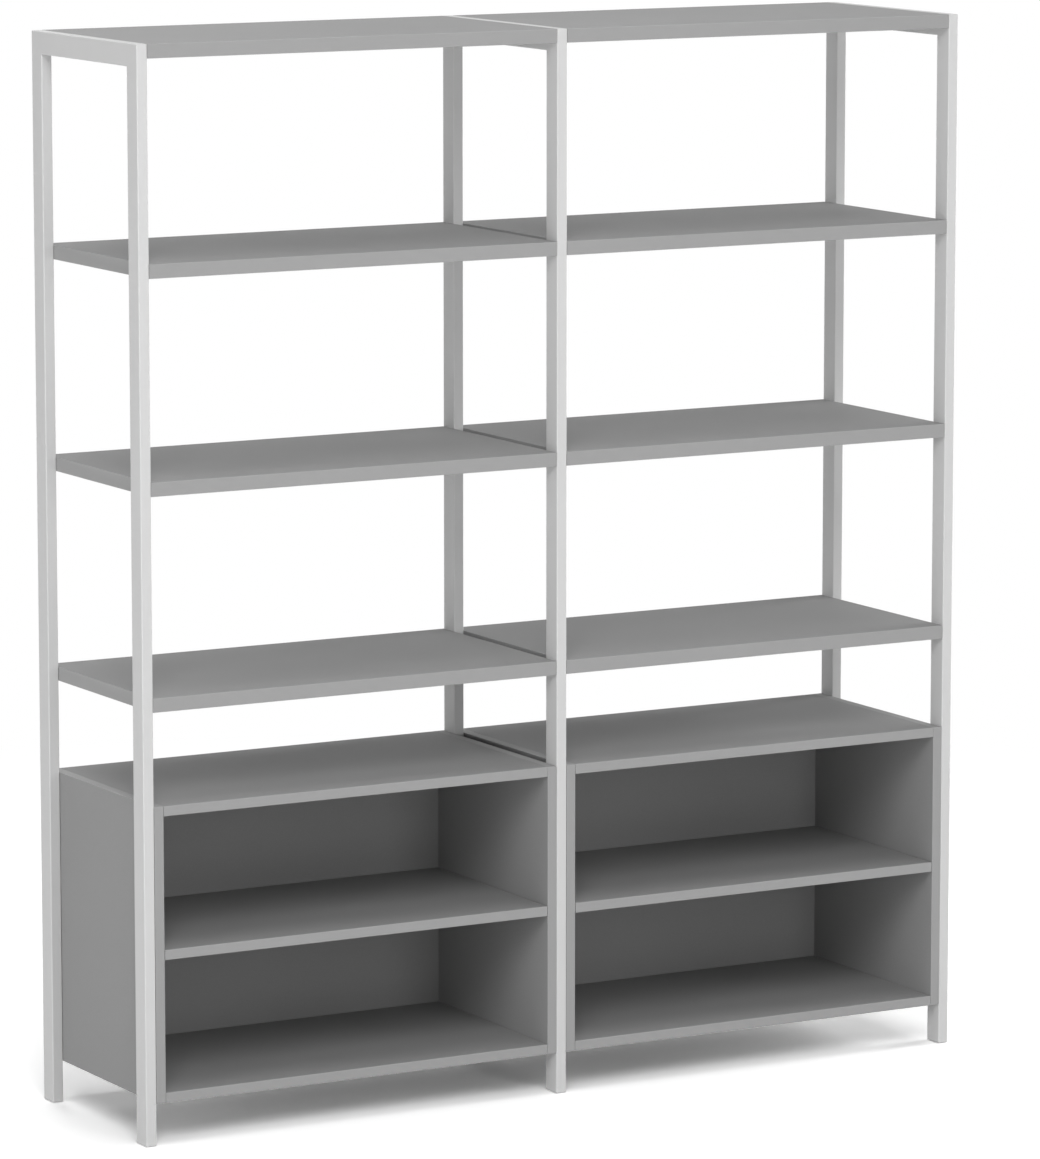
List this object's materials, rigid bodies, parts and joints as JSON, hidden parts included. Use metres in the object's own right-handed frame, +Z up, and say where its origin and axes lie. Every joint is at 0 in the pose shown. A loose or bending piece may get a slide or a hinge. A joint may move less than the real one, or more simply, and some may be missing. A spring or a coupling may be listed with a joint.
{
  "type": "library shelving unit",
  "caption": "Free-standing shelving of welded tube frames that carry open board shelves, reached from both sides, over open-fronted base boxes, on screw-adjusted feet.",
  "frame": {"origin": "on the floor under the middle of the unit, at the level of the foot pads", "axes": "+Z up, +Y to the rear, where the boxes are closed, +X to the right seen from the front"},
  "size_m": [1.66, 0.42, 1.915],
  "materials": {
    "frame_paint": "light grey powder coat, satin, very fine texture",
    "board": "mid grey melamine faced board with matching edge band, matt",
    "plated_steel": "bright zinc plated",
    "nylon": "black moulded nylon"
  },
  "bodies": {
    "unit": {"left_frame_front_post": "frame_paint", "left_front_foot_plug": "nylon", "left_frame_rear_post": "frame_paint", "left_rear_foot_plug": "nylon", "left_frame_top_rail": "frame_paint", "middle_frame_front_post": "frame_paint", "middle_front_foot_plug": "nylon", "middle_frame_rear_post": "frame_paint", "middle_rear_foot_plug": "nylon", "middle_frame_top_rail": "frame_paint", "right_frame_front_post": "frame_paint", "right_front_foot_plug": "nylon", "right_frame_rear_post": "frame_paint", "right_rear_foot_plug": "nylon", "right_frame_top_rail": "frame_paint", "left_bay_lower_shelf": "board", "left_bay_middle_shelf": "board", "left_bay_upper_shelf": "board", "left_bay_top_shelf": "board", "left_box_left_side": "board", "left_box_left_front_pin": "plated_steel", "left_box_left_rear_pin": "plated_steel", "left_box_right_side": "board", "left_box_right_front_pin": "plated_steel", "left_box_right_rear_pin": "plated_steel", "left_box_bottom_panel": "board", "left_box_top_panel": "board", "left_box_back_panel": "board", "right_bay_lower_shelf": "board", "right_bay_middle_shelf": "board", "right_bay_upper_shelf": "board", "right_bay_top_shelf": "board", "right_box_left_side": "board", "right_box_left_front_pin": "plated_steel", "right_box_left_rear_pin": "plated_steel", "right_box_right_side": "board", "right_box_right_front_pin": "plated_steel", "right_box_right_rear_pin": "plated_steel", "right_box_bottom_panel": "board", "right_box_top_panel": "board", "right_box_back_panel": "board"},
    "left_front_foot": {"left_front_levelling_foot": "plated_steel"},
    "left_rear_foot": {"left_rear_levelling_foot": "plated_steel"},
    "middle_front_foot": {"middle_front_levelling_foot": "plated_steel"},
    "middle_rear_foot": {"middle_rear_levelling_foot": "plated_steel"},
    "right_front_foot": {"right_front_levelling_foot": "plated_steel"},
    "right_rear_foot": {"right_rear_levelling_foot": "plated_steel"},
    "left_inner_shelf": {"left_box_inner_shelf": "board"},
    "right_inner_shelf": {"right_box_inner_shelf": "board"}
  },
  "joints": [
    {"name": "left_front_foot_screw", "type": "slide", "parent": "unit", "child": "left_front_foot", "axis": [0, 0, -1], "range_m": [0, 0.01]},
    {"name": "left_rear_foot_screw", "type": "slide", "parent": "unit", "child": "left_rear_foot", "axis": [0, 0, -1], "range_m": [0, 0.01]},
    {"name": "middle_front_foot_screw", "type": "slide", "parent": "unit", "child": "middle_front_foot", "axis": [0, 0, -1], "range_m": [0, 0.01]},
    {"name": "middle_rear_foot_screw", "type": "slide", "parent": "unit", "child": "middle_rear_foot", "axis": [0, 0, -1], "range_m": [0, 0.01]},
    {"name": "right_front_foot_screw", "type": "slide", "parent": "unit", "child": "right_front_foot", "axis": [0, 0, -1], "range_m": [0, 0.01]},
    {"name": "right_rear_foot_screw", "type": "slide", "parent": "unit", "child": "right_rear_foot", "axis": [0, 0, -1], "range_m": [0, 0.01]},
    {"name": "left_inner_shelf_slide", "type": "slide", "parent": "unit", "child": "left_inner_shelf", "axis": [0, -1, 0], "range_m": [0, 0.14]},
    {"name": "right_inner_shelf_slide", "type": "slide", "parent": "unit", "child": "right_inner_shelf", "axis": [0, -1, 0], "range_m": [0, 0.14]}
  ]
}
